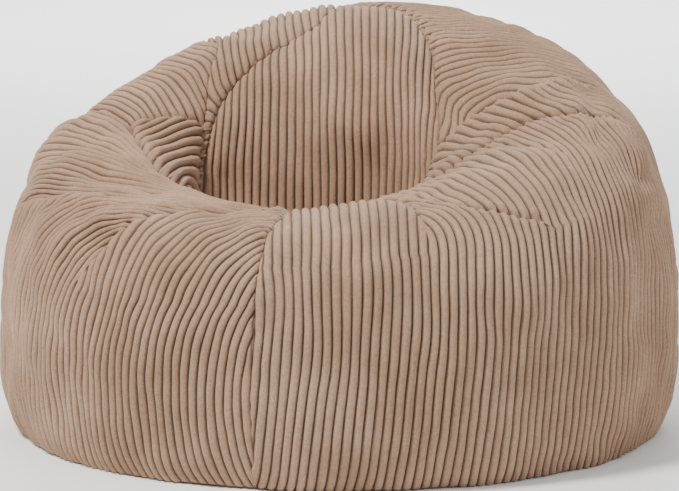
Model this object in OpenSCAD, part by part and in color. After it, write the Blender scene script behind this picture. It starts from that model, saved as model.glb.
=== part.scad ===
// Corduroy bean bag chair: a sewn cover with a zipped base round a zipped liner full of foam beads.
// Millimetres. The origin is the middle of the base on the floor, -Y is the front and +Z is up.

/* [Body] */
// Widest size from side to side
body_width = 850; // [700:1:1030]
// Widest size from front to back
body_depth = 832; // [690:1:1000]
// Height of the widest line above the floor
belly_height = 123; // [95:1:155]
// How far the side curls in under the widest line
floor_curl = 28; // [22:1:36]
// Fullness of the flank between the widest line and the rim
flank_fullness = 2.5; // [2.05:0.05:3.1]

/* [Rim] */
// Height of the front lip
front_rim_height = 304; // [253:1:365]
// Height of the arms
arm_height = 393; // [320:1:480]
// Height of the backrest, the tallest place
back_height = 511; // [420:1:620]
// Distance of the lip's crest from the middle
front_rim_reach = 290; // [241:1:349]
// Distance of each arm's crest from the middle
arm_reach = 273; // [225:1:330]
// Distance of the backrest's crest from the middle
back_reach = 243; // [200:1:295]
// How much higher the right arm is than the mean
arm_lean = 8; // [0:1:12]
// How far the rim is pushed to the right
rim_shift = 17; // [0:1:24]

/* [Hollow] */
// Height of the seat, the bottom of the hollow
seat_height = 215; // [178:1:260]
// Radius of the seat panel towards the front and sides
seat_reach = 90; // [72:1:110]
// Radius of the seat panel towards the back
seat_back_reach = 60; // [48:1:74]
// Sideways place of the hollow's middle
hollow_shift = -30; // [-45:1:45]
// Radius of the hollow where its wall turns into the seat
wall_reach = 150; // [124:1:182]
// The same radius below the backrest
back_wall_reach = 70; // [60:1:86]
// Rise of that turn above the seat, at the front
front_wall_rise = 55; // [44:1:68]
// The same rise at the arms
arm_wall_rise = 85; // [70:1:104]
// The same rise below the backrest
back_wall_rise = 115; // [94:1:140]

/* [Seams] */
// Thickness of the corduroy with its lining
cover_thickness = 5; // [4.2:0.1:6.5]
// How deep a seam pulls in at the rim
rim_seam_depth = 14; // [8:0.5:18]
// How deep a seam pulls in on the flank
flank_seam_depth = 6; // [3:0.5:10]
// Width of the pull beside a seam
seam_pull = 46; // [30:1:60]
// How deep the seam over the backrest panel pulls in
arch_pull = 2; // [0:0.5:3]
// Angle of the backrest panel's centre line from the front
backrest_angle = 182; // [172:1:188]

/* [Liner] */
// Space between the cover and the liner
liner_gap = 5.5; // [4.6:0.1:7]
// Thickness of the liner cloth
liner_thickness = 1; // [0.6:0.1:1.6]
// Space between the liner and the beads
fill_gap = 3; // [2.4:0.1:5]

/* [Cover zip] */
// Length of the cover's zip between its end stops
zip_length = 600; // [480:1:740]
// Width of each of the cover zip's tapes
zip_tape_width = 16; // [13:0.5:20]
// Width of each row of the cover zip's coil
zip_coil_width = 2.6; // [2.1:0.1:3.2]
// Height of each row of the cover zip's coil
zip_coil_height = 2.2; // [1.8:0.1:2.6]
// Length of the cover zip's slider
zip_slider_length = 14; // [11:0.5:17]

/* [Liner zip] */
// Length of the liner's zip between its end stops
liner_zip_length = 400; // [330:1:480]
// Width of each of the liner zip's tapes
liner_tape_width = 12; // [10:0.5:15]
// Width of each row of the liner zip's coil
liner_coil_width = 2; // [1.6:0.1:2.4]
// Height of each row of the liner zip's coil
liner_coil_height = 1.5; // [1.2:0.1:1.8]
// Length of the liner zip's slider
liner_slider_length = 10; // [8:0.5:12]
// Distance of the liner's zip behind the cover's zip
liner_zip_offset = 70; // [55:1:90]

/* [Care label] */
// Length of the blank label
label_length = 60; // [45:1:80]
// Width of the blank label
label_width = 30; // [22:1:40]

/* [Hidden] */

cord = "#9a7e6a";
base_cloth = "#8a7466";
tape_cloth = "#7c685a";
nylon = "#6f5c50";
zinc = "#8d8680";
liner_cloth = "#f1efe9";
beads = "#fbfbfb";

// Each ring and level holds its front, side and back values and how much more the right side has
floor_ring = [body_depth / 2 - floor_curl, body_width / 2 - floor_curl, body_depth / 2 - floor_curl, 0];
belly_ring = [body_depth / 2, body_width / 2, body_depth / 2, 0];
belly_level = [belly_height, belly_height, belly_height, 0];
rim_ring = [front_rim_reach, arm_reach, back_reach, rim_shift];
rim_level = [front_rim_height, arm_height, back_height, arm_lean];
wall_ring = [wall_reach, wall_reach, back_wall_reach, 0];
wall_level = [seat_height + front_wall_rise, seat_height + arm_wall_rise, seat_height + back_wall_rise, 0];
seat_ring = [seat_reach, seat_reach, seat_back_reach, 0];
seat_level = [seat_height, seat_height, seat_height, 0];

// A level t on the skin runs 0 floor, 1 widest line, 2 crest of the rim, 3 foot of the wall, 4 seat
level_step = 0.2;
levels = [for (i = [0:round(4 / level_step)]) i * level_step];
top_level = levels[len(levels) - 1];

// Angle of the side seams from the front, and of the backrest panel's edges from its middle. The edges
// meet at the arch level, and below it the two rear panels share one seam down the back
side_seam = [[0, 100], [1, 98], [2, 89], [2.25, 79], [2.5, 60], [2.8, 52], [4, 50]];
arch_level = 2;
backrest_right_edge = [[2, 8], [2.2, -20], [2.4, -46], [2.6, -66], [2.8, -76], [3, -81], [4, -90]];
backrest_left_edge = [[2, 8], [2.2, 16], [2.4, 46], [2.6, 66], [2.8, 76], [3, 83], [4, 90]];
seam_depth = [[0, 0], [0.2, 0], [0.6, flank_seam_depth], [1.5, flank_seam_depth],
              [2, rim_seam_depth], [3, rim_seam_depth], [4, 0]];
arch_seam_depth = [[0, 0], [0.2, 0], [0.6, flank_seam_depth], [1.4, flank_seam_depth], [1.8, arch_pull],
                   [2.2, arch_pull], [2.8, rim_seam_depth], [3, rim_seam_depth], [4, 0]];

// Panels in order round the body, each from one seam to the next, and its number of strips.
// A ring beside the backrest panel has upper_rear_strips on each rear panel
FRONT_RIGHT = 0;
REAR_RIGHT = 1;
BACKREST = 2;
REAR_LEFT = 3;
FRONT_LEFT = 4;
strips = [8, 11, 10, 11, 8];
upper_rear_strips = strips[REAR_RIGHT] - strips[BACKREST] / 2;

// The front seam pulls in and the back has none, so half the pull keeps the box centred
seam_balance = -flank_seam_depth / 2;

// Depth of each layer below the outside of the cover
liner_depth = cover_thickness + liner_gap;
fill_depth = liner_depth + liner_thickness + fill_gap;

// Clearances and cloth that both zips share
tape_thickness = 0.8;
coil_gap = 1.6;
slider_play = 0.3;
slider_plate = 1;
slider_overlap = 2;
slot_play = 4;
stop_length = 4;
tape_tail = 14;
label_thickness = 0.8;
label_offset = 24;

function smooth(x) =
    let (s = min(1, max(0, x)))
    s * s * (3 - 2 * s);

function round_body(a, v) =
    (v[0] + v[2]) / 2 + (v[0] - v[2]) / 2 * cos(a)
    + (v[1] - (v[0] + v[2]) / 2) * pow(sin(a), 2) + v[3] * sin(a);

// Quarter turns between the rings, each with its own sweep from one ring to the next
function flank(k) = pow(abs(k), 2 / flank_fullness);

function ring_at(a, t) =
    t < 1 ? round_body(a, floor_ring + (belly_ring - floor_ring) * sin(90 * t)) :
    t < 2 ? round_body(a, rim_ring + (belly_ring - rim_ring) * flank(cos(90 * (t - 1)))) :
    t < 3 ? round_body(a, wall_ring + (rim_ring - wall_ring) * (1 - sin(90 * (t - 2)))) :
    round_body(a, seat_ring + (wall_ring - seat_ring) * cos(90 * (t - 3)));

function level_at(a, t) =
    t < 1 ? round_body(a, belly_level * (1 - cos(90 * t))) :
    t < 2 ? round_body(a, belly_level + (rim_level - belly_level) * flank(sin(90 * (t - 1)))) :
    t < 3 ? round_body(a, wall_level + (rim_level - wall_level) * cos(90 * (t - 2))) :
    round_body(a, wall_level - (wall_level - seat_level) * sin(90 * (t - 3)));

function skin(a, t) =
    let (r = ring_at(a, t))
    [hollow_shift * smooth((t - 1) / 2) + r * sin(a), seam_balance - r * cos(a), level_at(a, t)];

function outward(a, t) =
    t <= 0 ? [0, 0, -1] :
    t >= top_level ? [0, 0, 1] :
    let (n = cross(skin(a + 0.5, t) - skin(a - 0.5, t), skin(a, t + 0.01) - skin(a, t - 0.01)))
    n / norm(n);

// Depth of seam s at level t
function seam_drop(s, t) = lookup(t, s == 2 || s == 3 ? arch_seam_depth : seam_depth);

// Angle of seam s at level t: front, right side, backrest right, backrest left, left side, front
function seam_angle(s, t) =
    s == 0 ? 0 :
    s == 1 ? lookup(t, side_seam) :
    s == 2 ? backrest_angle + lookup(t, backrest_right_edge) :
    s == 3 ? backrest_angle + lookup(t, backrest_left_edge) :
    s == 4 ? 360 - lookup(t, side_seam) :
    360;

// Point of panel s at share u of its width, at a level and a depth below the outside of the cover
function cloth(s, u, t, depth) =
    let (
        width = seam_angle(s + 1, t) - seam_angle(s, t),
        a = seam_angle(s, t) + u * width,
        from_seam = min(u, 1 - u) * width * PI / 180 * ring_at(a, t),
        pull = seam_drop(u < 0.5 ? s : s + 1, t) * (1 - smooth(from_seam / seam_pull))
    )
    skin(a, t) - (depth + pull) * outward(a, t);

function panel_grid(s, depth) =
    [for (t = levels) if (s != BACKREST || t > arch_level + level_step / 2)
        [for (j = [0:strips[s]]) cloth(s, j / strips[s], t, depth)]];

// The same points of the whole body as one closed ring at each level
function ring_strips(s, t) =
    t < arch_level + level_step / 2 ? (s == BACKREST ? 0 : strips[s]) :
    s == REAR_RIGHT || s == REAR_LEFT ? upper_rear_strips :
    strips[s];

function ring_grid(depth) =
    [for (t = levels) [for (s = [0:4])
        let (n = ring_strips(s, t))
        for (j = [0:1:n - 1]) cloth(s, j / n, t, depth)]];

function flat(lists) = [for (l = lists) for (v = l) v];

function quad(a, b, c, d) = [[a, b, c], [a, c, d]];

function reversed(faces) = [for (f = faces) [f[2], f[1], f[0]]];

function moved(faces, n) = [for (f = faces) [f[0] + n, f[1] + n, f[2] + n]];

// Faces of a grid seen from outside, wrapped round into a ring or left open
function grid_faces(rows, cols, wrap) =
    flat([for (i = [0:rows - 2]) for (j = [0:cols - (wrap ? 1 : 2)])
        let (k = (j + 1) % cols)
        quad(i * cols + j, (i + 1) * cols + j, (i + 1) * cols + k, i * cols + k)]);

// Walls that join the edge loop of the outer points to the same loop of the inner points. Each is cut
// from its lower outer corner to its higher inner one, so neighbours cut their shared wall alike
function wall_faces(loop, n) =
    flat([for (i = [0:len(loop) - 1])
        let (a = loop[i], b = loop[(i + 1) % len(loop)])
        a < b ? quad(a, b, b + n, a + n) : quad(b, b + n, a + n, a)]);

function edge_loop(rows, cols) = concat(
    [for (j = [0:cols - 1]) j],
    [for (i = [1:rows - 1]) i * cols + cols - 1],
    [for (j = [2:cols]) rows * cols - j],
    [for (i = [2:rows - 1]) (rows - i) * cols]);

function fan(apex, start, cols, up) =
    [for (j = [0:cols - 1])
        let (a = start + j, b = start + (j + 1) % cols)
        up ? [apex, b, a] : [apex, a, b]];

function centre(ring) =
    let (n = len(ring))
    [for (c = [0:2]) [for (p = ring) p[c]] * [for (p = ring) 1] / n];

module panel(s) {
    rows = len(levels);
    cols = strips[s] + 1;
    n = rows * cols;
    faces = grid_faces(rows, cols, false);
    polyhedron(
        points = concat(flat(panel_grid(s, 0)), flat(panel_grid(s, cover_thickness))),
        faces = concat(faces, moved(reversed(faces), n), wall_faces(edge_loop(rows, cols), n)));
}

// The backrest panel, an arch whose edges run together in one point at its top
module arched_panel() {
    outer = panel_grid(BACKREST, 0);
    inner = panel_grid(BACKREST, cover_thickness);
    rows = len(outer);
    cols = strips[BACKREST] + 1;
    n = rows * cols + 1;
    faces = concat(
        [for (j = [1:cols - 1]) [0, j, j + 1]],
        moved(grid_faces(rows, cols, false), 1));
    edge = concat(
        [0],
        [for (i = [1:rows]) i * cols],
        [for (j = [1:cols - 1]) rows * cols - j],
        [for (i = [rows - 2:-1:0]) i * cols + 1]);
    polyhedron(
        points = concat(
            [cloth(BACKREST, 0, arch_level, 0)], flat(outer),
            [cloth(BACKREST, 0, arch_level, cover_thickness)], flat(inner)),
        faces = concat(faces, moved(reversed(faces), n), wall_faces(edge, n)));
}

// A closed bag skin without its base
module bag(depth, thickness) {
    outer = ring_grid(depth);
    inner = ring_grid(depth + thickness);
    rows = len(levels);
    cols = len(outer[0]);
    n = rows * cols + 1;
    side = concat(
        grid_faces(rows, cols, true),
        fan(n - 1, (rows - 1) * cols, cols, true));
    polyhedron(
        points = concat(flat(outer), [centre(outer[rows - 1])], flat(inner), [centre(inner[rows - 1])]),
        faces = concat(side, moved(reversed(side), n), wall_faces([for (j = [0:cols - 1]) j], n)));
}

// Everything inside a depth as one solid
module filled(depth) {
    outer = ring_grid(depth);
    rows = len(levels);
    cols = len(outer[0]);
    n = rows * cols;
    polyhedron(
        points = concat(flat(outer), [centre(outer[rows - 1]), centre(outer[0])]),
        faces = concat(
            grid_faces(rows, cols, true),
            fan(n, n - cols, cols, true),
            fan(n + 1, 0, cols, false)));
}

module ring_plate(t, level, thickness) {
    translate([0, 0, level])
    linear_extrude(thickness)
    polygon([for (p = ring_grid(0)[t]) [p[0], p[1]]]);
}

// Half of the base on one side of the zip, side -1 front and 1 rear, with its share of the zip slot
module half_base(side) {
    difference() {
        ring_plate(0, 0, cover_thickness);
        translate([-body_width, side > 0 ? -body_depth : 0, -1])
        cube([2 * body_width, body_depth, cover_thickness + 2]);
        slot(0, zip_length, zip_coil_width, 0, cover_thickness);
    }
}

function slot_half(coil_width) = coil_gap / 2 + coil_width + slider_overlap + slot_play / 2;

module slot(offset, length, coil_width, level, thickness) {
    half = slot_half(coil_width);
    translate([-length / 2 - stop_length, offset - half, level - 1])
    cube([length + 2 * stop_length, 2 * half, thickness + 2]);
}

// Tape of a zip on one side, lying on the cloth at a level
module tape(side, offset, length, width, coil_width, level) {
    near = coil_gap / 2 + coil_width / 2;
    full = length + 2 * stop_length + 2 * tape_tail;
    translate([-full / 2, side > 0 ? offset + near : offset - near - width, level])
    cube([full, width, tape_thickness]);
}

// One row of coil under the inner edge of its tape
module coil(side, offset, length, width, height, level) {
    near = coil_gap / 2;
    translate([-length / 2, side > 0 ? offset + near : offset - near - width, level - height])
    cube([length, width, height]);
}

// Slider at the closed end: two plates joined by a web that runs between the rows, under a small arch
module slider(offset, zip, length, coil_width, coil_height, level, arch) {
    half = coil_gap / 2 + coil_width + slider_overlap;
    web = coil_gap / 2 - slider_play;
    bottom = level - coil_height - slider_play - slider_plate;
    top = level + tape_thickness + slider_play;
    translate([-zip / 2 + slider_play, offset, 0]) {
        translate([0, -half, bottom])
        cube([length, 2 * half, slider_plate]);
        translate([0, -half, top])
        cube([length, 2 * half, slider_plate]);
        translate([length * 0.1, -web, bottom])
        cube([length * 0.8, 2 * web, top + slider_plate - bottom]);
        translate([length * 0.2, -web * 2, bottom - arch])
        cube([length * 0.6, web * 4, arch + slider_plate / 2]);
    }
}

// Block that closes one end of a zip
module stop(end, offset, length, coil_width, coil_height, level) {
    half = coil_gap / 2 + coil_width;
    translate([end > 0 ? length / 2 : -length / 2 - stop_length, offset - half, level - coil_height])
    cube([stop_length, 2 * half, coil_height]);
}

module front_left_panel() {
    color(cord)
    panel(FRONT_LEFT);
}

module front_right_panel() {
    color(cord)
    panel(FRONT_RIGHT);
}

module rear_left_panel() {
    color(cord)
    panel(REAR_LEFT);
}

module rear_right_panel() {
    color(cord)
    panel(REAR_RIGHT);
}

module backrest_panel() {
    color(cord)
    arched_panel();
}

module seat_panel() {
    color(cord)
    ring_plate(len(levels) - 1, seat_height - cover_thickness, cover_thickness);
}

module base_front_panel() {
    color(base_cloth)
    half_base(-1);
}

module base_rear_panel() {
    color(base_cloth)
    half_base(1);
}

module zip_tape(side) {
    color(tape_cloth)
    tape(side, 0, zip_length, zip_tape_width, zip_coil_width, cover_thickness);
}

module zip_coil(side) {
    color(nylon)
    coil(side, 0, zip_length, zip_coil_width, zip_coil_height, cover_thickness);
}

module zip_slider() {
    color(zinc)
    slider(0, zip_length, zip_slider_length, zip_coil_width, zip_coil_height, cover_thickness, 0.4);
}

module zip_stop(end) {
    color(zinc)
    stop(end, 0, zip_length, zip_coil_width, zip_coil_height, cover_thickness);
}

module care_label() {
    color("white")
    translate([-label_length / 2, -label_offset - label_width, cover_thickness])
    cube([label_length, label_width, label_thickness]);
}

module liner_bag() {
    color(liner_cloth)
    bag(liner_depth, liner_thickness);
}

module liner_base() {
    color(liner_cloth)
    difference() {
        ring_plate(0, liner_depth, liner_thickness);
        slot(liner_zip_offset, liner_zip_length, liner_coil_width, liner_depth, liner_thickness);
    }
}

liner_inside = liner_depth + liner_thickness;

module liner_zip_tape(side) {
    color("white")
    tape(side, liner_zip_offset, liner_zip_length, liner_tape_width, liner_coil_width, liner_inside);
}

module liner_zip_coil(side) {
    color("ivory")
    coil(side, liner_zip_offset, liner_zip_length, liner_coil_width, liner_coil_height, liner_inside);
}

module liner_zip_slider() {
    color(zinc)
    slider(liner_zip_offset, liner_zip_length, liner_slider_length, liner_coil_width,
           liner_coil_height, liner_inside, 0.3);
}

module liner_zip_stops() {
    color(zinc)
    for (end = [-1, 1])
        stop(end, liner_zip_offset, liner_zip_length, liner_coil_width, liner_coil_height, liner_inside);
}

module bead_filling() {
    color(beads)
    filled(fill_depth);
}

front_left_panel();
front_right_panel();
rear_left_panel();
rear_right_panel();
backrest_panel();
seat_panel();
base_front_panel();
base_rear_panel();
zip_tape(-1);  // zip_tape_front
zip_tape(1);  // zip_tape_rear
zip_coil(-1);  // zip_coil_front
zip_coil(1);  // zip_coil_rear
zip_slider();
zip_stop(-1);  // zip_top_stop
zip_stop(1);  // zip_bottom_stop
care_label();
liner_bag();
liner_base();
liner_zip_tape(-1);  // liner_zip_tape_front
liner_zip_tape(1);  // liner_zip_tape_rear
liner_zip_coil(-1);  // liner_zip_coil_front
liner_zip_coil(1);  // liner_zip_coil_rear
liner_zip_slider();
liner_zip_stops();
bead_filling();
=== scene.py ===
import math

import bmesh
import bpy
import numpy as np
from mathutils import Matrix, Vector


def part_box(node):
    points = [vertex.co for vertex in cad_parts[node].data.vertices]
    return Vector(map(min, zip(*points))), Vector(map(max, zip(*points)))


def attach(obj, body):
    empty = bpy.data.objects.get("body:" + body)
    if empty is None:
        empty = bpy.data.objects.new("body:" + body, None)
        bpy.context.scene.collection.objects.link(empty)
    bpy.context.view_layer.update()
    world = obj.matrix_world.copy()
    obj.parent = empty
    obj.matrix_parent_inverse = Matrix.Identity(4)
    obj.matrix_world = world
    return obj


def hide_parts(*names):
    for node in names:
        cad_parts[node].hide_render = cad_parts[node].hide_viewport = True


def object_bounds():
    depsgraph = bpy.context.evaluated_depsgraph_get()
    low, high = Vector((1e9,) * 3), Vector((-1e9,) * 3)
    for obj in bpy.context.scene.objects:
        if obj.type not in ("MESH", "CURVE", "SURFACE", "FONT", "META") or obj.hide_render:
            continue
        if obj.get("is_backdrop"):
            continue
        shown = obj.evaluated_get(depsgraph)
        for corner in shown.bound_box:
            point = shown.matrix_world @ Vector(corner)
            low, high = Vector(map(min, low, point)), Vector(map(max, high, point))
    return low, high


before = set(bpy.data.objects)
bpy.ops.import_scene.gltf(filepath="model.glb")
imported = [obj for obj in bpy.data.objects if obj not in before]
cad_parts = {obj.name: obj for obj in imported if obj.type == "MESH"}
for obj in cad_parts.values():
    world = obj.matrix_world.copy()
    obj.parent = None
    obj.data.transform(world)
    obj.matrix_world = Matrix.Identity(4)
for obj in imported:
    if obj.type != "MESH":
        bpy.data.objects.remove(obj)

cad_low, cad_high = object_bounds()

# ---------------------------------------------------------------------------------------------
# Studio
# A pale floor under a plain bright sky, a soft key light from the upper left, a weaker fill from
# the right, a wide lamp over the floor behind, and a long lens some metres away.
# ---------------------------------------------------------------------------------------------
VIEW_AZIMUTH = 14.0
VIEW_ELEVATION = 9.2
VIEW_DISTANCE = 4.0
FOCAL_LENGTH = 168.7
AIM = Vector((0.0016, 0.0, 0.2235))


def direction(azimuth, elevation):
    a, e = math.radians(azimuth), math.radians(elevation)
    return Vector((math.sin(a) * math.cos(e), -math.cos(a) * math.cos(e), math.sin(e)))


def face_towards(thing, place, aim):
    thing.location = place
    thing.rotation_mode = "QUATERNION"
    thing.rotation_quaternion = (aim - place).to_track_quat("-Z", "Y")


def make_camera():
    lens = bpy.data.cameras.new("camera")
    lens.lens = FOCAL_LENGTH
    lens.clip_end = 60.0
    camera = bpy.data.objects.new("camera", lens)
    bpy.context.scene.collection.objects.link(camera)
    face_towards(camera, AIM + direction(VIEW_AZIMUTH, VIEW_ELEVATION) * VIEW_DISTANCE, AIM)
    bpy.context.scene.camera = camera


def make_area_light(name, azimuth, elevation, distance, size, power, tint, aim=AIM):
    lamp = bpy.data.lights.new(name, "AREA")
    lamp.shape = "DISK"
    lamp.size = size
    lamp.energy = power
    lamp.color = tint
    light = bpy.data.objects.new(name, lamp)
    bpy.context.scene.collection.objects.link(light)
    face_towards(light, aim + direction(azimuth, elevation) * distance, aim)


def make_sky():
    world = bpy.data.worlds.new("studio")
    world.use_nodes = True
    sky = world.node_tree.nodes["Background"]
    sky.inputs["Color"].default_value = (1.0, 1.0, 1.0, 1.0)
    sky.inputs["Strength"].default_value = 0.62
    bpy.context.scene.world = world


def make_floor():
    work = bmesh.new()
    bmesh.ops.create_grid(work, x_segments=1, y_segments=1, size=9.0)
    mesh = bpy.data.meshes.new("floor")
    work.to_mesh(mesh)
    work.free()
    floor = bpy.data.objects.new("floor", mesh)
    bpy.context.scene.collection.objects.link(floor)
    paint = bpy.data.materials.new("pale_floor")
    paint.use_nodes = True
    shader = paint.node_tree.nodes["Principled BSDF"]
    shader.inputs["Base Color"].default_value = (0.93, 0.93, 0.925, 1.0)
    shader.inputs["Roughness"].default_value = 0.9
    mesh.materials.append(paint)
    floor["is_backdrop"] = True


make_camera()
make_sky()
make_floor()
make_area_light("key", -38.0, 56.0, 3.0, 0.6, 118.0, (1.0, 0.985, 0.96))
make_area_light("fill", 65.0, 28.0, 3.4, 1.6, 26.0, (0.96, 0.98, 1.0))
make_area_light("backdrop", 180.0, 80.0, 3.0, 5.0, 420.0, (1.0, 1.0, 1.0), Vector((-1.3, 4.9, 0.0)))

# ---------------------------------------------------------------------------------------------
# Front left and front right panels
# Two large panels of wide-wale cotton corduroy, each cut in one piece that runs from the base
# up over the lip and the arm and down into the hollow, sewn together along the middle of the front.
# ---------------------------------------------------------------------------------------------
SEAT_LOW, SEAT_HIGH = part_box("seat_panel")
HOLLOW_SHIFT = (SEAT_LOW.x + SEAT_HIGH.x) / 2
SEAT_HEIGHT = SEAT_HIGH.z
HALF_WIDTH = (cad_high.x - cad_low.x) / 2
HALF_DEPTH = (cad_high.y - cad_low.y) / 2
BACK_HEIGHT = cad_high.z - 0.002
BELLY_HEIGHT = 0.123
FLOOR_CURL = 0.028
FLANK_FULLNESS = 2.5
# Front, side and back values, and how much more the right side has
FLOOR_RING = (HALF_DEPTH - FLOOR_CURL, HALF_WIDTH - FLOOR_CURL, HALF_DEPTH - FLOOR_CURL, 0.0)
BELLY_RING = (HALF_DEPTH, HALF_WIDTH, HALF_DEPTH, 0.0)
RIM_RING = (0.290, 0.273, 0.243, 0.017)
WALL_RING = (0.150, 0.150, 0.070, 0.0)
SEAT_RING = (0.090, 0.090, 0.060, 0.0)
RIM_LEVEL = (0.304, 0.393, BACK_HEIGHT, 0.008)
WALL_LEVEL = (SEAT_HEIGHT + 0.055, SEAT_HEIGHT + 0.085, SEAT_HEIGHT + 0.115, 0.0)

WALE = 0.0112
WALE_HEIGHT = 0.0050
# Columns of the mesh across one wale, from groove to groove
WALE_COLUMNS = (0.0, 0.11, 0.28, 0.5, 0.72, 0.89)


def smooth(x):
    x = np.clip(x, 0.0, 1.0)
    return x * x * (3 - 2 * x)


def round_body(a, ring):
    front, side, back, lean = ring
    middle = (front + back) / 2
    s = np.sin(a)
    return middle + (front - back) / 2 * np.cos(a) + (side - middle) * s * s + lean * s


def quarter(t, first):
    """Angle of the quarter turn that starts at level first."""
    return np.clip(t - first, 0.0, 1.0) * math.pi / 2


def ring_at(a, t):
    """Distance of the skin from the middle, at angle a and level t."""
    power = 2 / FLANK_FULLNESS
    floor, belly = round_body(a, FLOOR_RING), round_body(a, BELLY_RING)
    rim, wall, seat = round_body(a, RIM_RING), round_body(a, WALL_RING), round_body(a, SEAT_RING)
    curl = floor + (belly - floor) * np.sin(quarter(t, 0))
    flank = rim + (belly - rim) * np.abs(np.cos(quarter(t, 1))) ** power
    inner = wall + (rim - wall) * (1 - np.sin(quarter(t, 2)))
    foot = seat + (wall - seat) * np.cos(quarter(t, 3))
    return np.select([t < 1, t < 2, t < 3], [curl, flank, inner], foot)


def level_at(a, t):
    """Height of the skin above the floor, at angle a and level t."""
    power = 2 / FLANK_FULLNESS
    rim, wall = round_body(a, RIM_LEVEL), round_body(a, WALL_LEVEL)
    curl = BELLY_HEIGHT * (1 - np.cos(quarter(t, 0)))
    flank = BELLY_HEIGHT + (rim - BELLY_HEIGHT) * np.abs(np.sin(quarter(t, 1))) ** power
    inner = wall + (rim - wall) * np.cos(quarter(t, 2))
    foot = wall - (wall - SEAT_HEIGHT) * np.sin(quarter(t, 3))
    return np.select([t < 1, t < 2, t < 3], [curl, flank, inner], foot)


def skin(a, t):
    """Point of the plain body at angle a from the front and level t, with no relief."""
    r = ring_at(a, t)
    shift = HOLLOW_SHIFT * smooth((t - 1) / 2)
    return np.stack([shift + r * np.sin(a), -r * np.cos(a), level_at(a, t)], -1)


def outward(a, t):
    """Direction straight out of the plain body."""
    da, dt = 0.01, 0.01
    t = np.clip(t, dt, 4 - dt)
    across = skin(a + da, t) - skin(a - da, t)
    up = skin(a, t + dt) - skin(a, t - dt)
    n = np.cross(across, up)
    return n / np.linalg.norm(n, axis=-1, keepdims=True)


def curve(*points):
    """A smooth function through (level, value) points that never overshoots them."""
    x = np.array([p[0] for p in points], float)
    y = np.array([p[1] for p in points], float)
    rise = np.diff(y) / np.diff(x)
    width = np.diff(x)
    slope = np.concatenate([rise[:1], np.zeros(len(x) - 2), rise[-1:]])
    for i in range(1, len(x) - 1):
        if rise[i - 1] * rise[i] > 0:
            before, after = 2 * width[i] + width[i - 1], width[i] + 2 * width[i - 1]
            slope[i] = (before + after) / (before / rise[i - 1] + after / rise[i])

    def value(t):
        t = np.clip(t, x[0], x[-1])
        i = np.clip(np.searchsorted(x, t, side="right") - 1, 0, len(x) - 2)
        h = x[i + 1] - x[i]
        k = (t - x[i]) / h
        return (
            y[i] * (1 + 2 * k) * (1 - k) ** 2 + slope[i] * h * k * (1 - k) ** 2
            + y[i + 1] * k * k * (3 - 2 * k) + slope[i + 1] * h * k * k * (k - 1))

    return value


def angle_curve(*points):
    return curve(*[(t, math.radians(a)) for t, a in points])


def constant(value):
    return lambda t: np.full_like(t, value)


# Angles of the seams from the front, at levels from the floor to the seat. The two rear panels meet in
# one seam down the back, and the backrest panel is an arch let in between them below the crest
ARCH_LEVEL = 2.0
FRONT_SEAM = angle_curve((0, 0), (1, 0), (1.5, 1), (2, 3), (2.4, 4), (4, 4))
LEFT_SEAM = angle_curve(
    (0, -100), (1, -98), (1.6, -97), (1.85, -94), (2, -87), (2.14, -79), (2.29, -70), (2.42, -61),
    (2.6, -55), (2.8, -52), (4, -50))
RIGHT_SEAM = angle_curve(
    (0, 100), (1, 98), (1.6, 97), (2, 90), (2.15, 87), (2.26, 82), (2.35, 77), (2.45, 69), (2.6, 59),
    (2.8, 53), (4, 50))
CENTRE = 190
ARCH_RIGHT = angle_curve(
    (0, CENTRE), (1.9, CENTRE), (2, CENTRE), (2.05, 181), (2.12, 168), (2.2, 157), (2.33, 143),
    (2.42, 134), (2.55, 123), (2.62, 116), (2.7, 109), (2.78, 104), (2.9, 101), (3.1, 98), (4, 92))
ARCH_LEFT = angle_curve(
    (0, CENTRE - 360), (1.9, CENTRE - 360), (2, CENTRE - 360), (2.06, -168), (2.2, -164), (2.27, -158),
    (2.33, -149), (2.37, -138), (2.42, -127), (2.53, -114), (2.66, -106), (2.8, -100), (2.95, -96),
    (4, -90))


class Wobble:
    """Smooth seeded noise: a sum of plane waves in every direction, about -1 to 1."""

    def __init__(self, size, seed, waves=14):
        draw = np.random.default_rng(seed)
        ways = draw.normal(size=(waves, 3))
        ways /= np.linalg.norm(ways, axis=1, keepdims=True)
        self.ways = ways * (2 * math.pi / size) * draw.uniform(0.6, 1.5, (waves, 1))
        self.phases = draw.uniform(0, 2 * math.pi, waves)
        self.scale = math.sqrt(2 / waves)

    def __call__(self, points):
        return np.sin(points @ self.ways.T + self.phases).sum(-1) * self.scale


# Points whose distances are worked out together, to save memory
CHUNK = 20000


class Line:
    """A line over the body, from which the distance of points is measured."""

    def __init__(self, at, first=0.0, last=4.0):
        t = np.linspace(first, last, 600)
        points = skin(at(t), t)
        along = np.concatenate([[0.0], np.cumsum(np.linalg.norm(np.diff(points, axis=0), axis=1))])
        even = np.interp(np.linspace(0, along[-1], max(2, int(along[-1] / 0.004))), along, t)
        self.points = skin(at(even), even)

    def gap(self, place):
        out = np.empty(len(place))
        for i in range(0, len(place), CHUNK):
            p = place[i:i + CHUNK]
            square = (p * p).sum(1)[:, None] - 2 * p @ self.points.T + (self.points ** 2).sum(1)[None]
            near = square.argmin(1)
            best = np.full(len(p), 1e9)
            for step in (-1, 0):
                first = np.clip(near + step, 0, len(self.points) - 2)
                start, end = self.points[first], self.points[first + 1]
                run = end - start
                k = np.clip(((p - start) * run).sum(1) / np.maximum((run * run).sum(1), 1e-12), 0, 1)
                best = np.minimum(best, np.linalg.norm(p - start - run * k[:, None], axis=1))
            out[i:i + CHUNK] = best
        return out


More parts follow.
